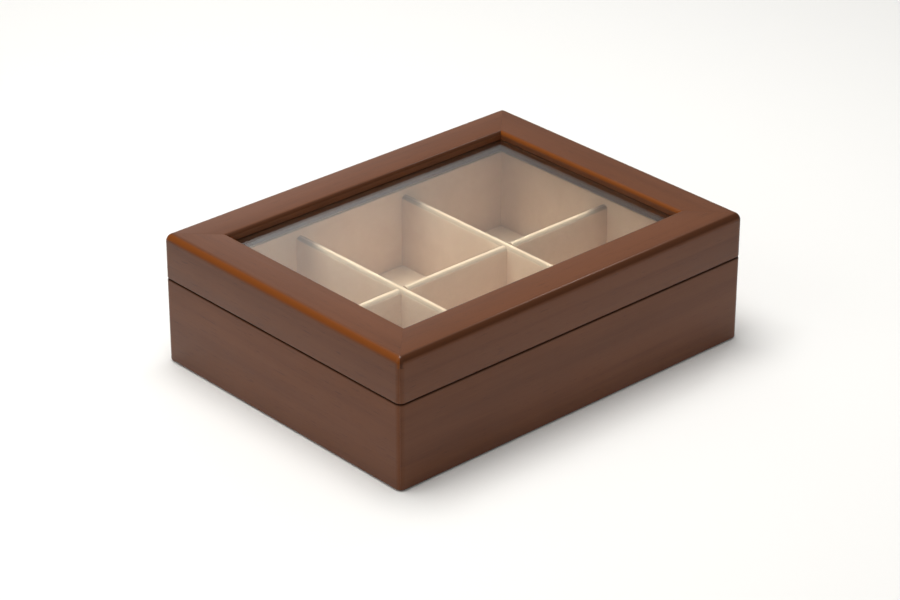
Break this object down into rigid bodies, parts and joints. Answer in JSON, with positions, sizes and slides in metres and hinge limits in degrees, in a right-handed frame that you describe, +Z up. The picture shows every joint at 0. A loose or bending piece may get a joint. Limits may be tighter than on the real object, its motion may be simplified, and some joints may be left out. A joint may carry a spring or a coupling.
{
  "type": "glazed wooden box for storing glasses",
  "caption": "Low rectangular lacquered wood box with a hinged, mitred and glazed lid, lined in pale suede and divided by halved dividers into open compartments for glasses.",
  "frame": {"origin": "middle of the felt underside, on the surface that the box stands on, centred on the wooden case", "axes": "+X along the long side, +Z up, -Y is the front, +Y is the hinged back"},
  "size_m": [0.35, 0.2738, 0.108],
  "materials": {
    "lacquered_wood": "satin lacquer over a mid-brown stain, fine straight grain",
    "plywood": "unfinished thin plywood",
    "suede": "short-napped beige faux suede",
    "felt": "pressed dark brown felt",
    "glass": "clear float glass",
    "brass": "polished, lacquered"
  },
  "bodies": {
    "base": {"base_panel_back": "lacquered_wood", "base_panel_front": "lacquered_wood", "base_panel_left": "lacquered_wood", "base_panel_right": "lacquered_wood", "bottom_panel": "plywood", "divider_cross_left": "suede", "divider_cross_right": "suede", "divider_long": "suede", "floor_pad": "suede", "hinge_left_base_leaf": "brass", "hinge_left_base_screw_inner": "brass", "hinge_left_base_screw_outer": "brass", "hinge_left_pin": "brass", "hinge_right_base_leaf": "brass", "hinge_right_base_screw_inner": "brass", "hinge_right_base_screw_outer": "brass", "hinge_right_pin": "brass", "liner_back": "suede", "liner_front": "suede", "liner_left": "suede", "liner_right": "suede", "underside_felt": "felt"},
    "lid": {"glass_bead_back": "lacquered_wood", "glass_bead_front": "lacquered_wood", "glass_bead_left": "lacquered_wood", "glass_bead_right": "lacquered_wood", "hinge_left_lid_leaf": "brass", "hinge_left_lid_screw_inner": "brass", "hinge_left_lid_screw_outer": "brass", "hinge_right_lid_leaf": "brass", "hinge_right_lid_screw_inner": "brass", "hinge_right_lid_screw_outer": "brass", "lid_glass": "glass", "lid_rail_back": "lacquered_wood", "lid_rail_front": "lacquered_wood", "lid_rail_left": "lacquered_wood", "lid_rail_right": "lacquered_wood"}
  },
  "joints": [
    {"name": "lid_hinge", "type": "hinge", "parent": "base", "child": "lid", "pos_m": [0, 0.1366, 0.0707], "axis": [-1, 0, 0], "range_deg": [0, 95]}
  ]
}
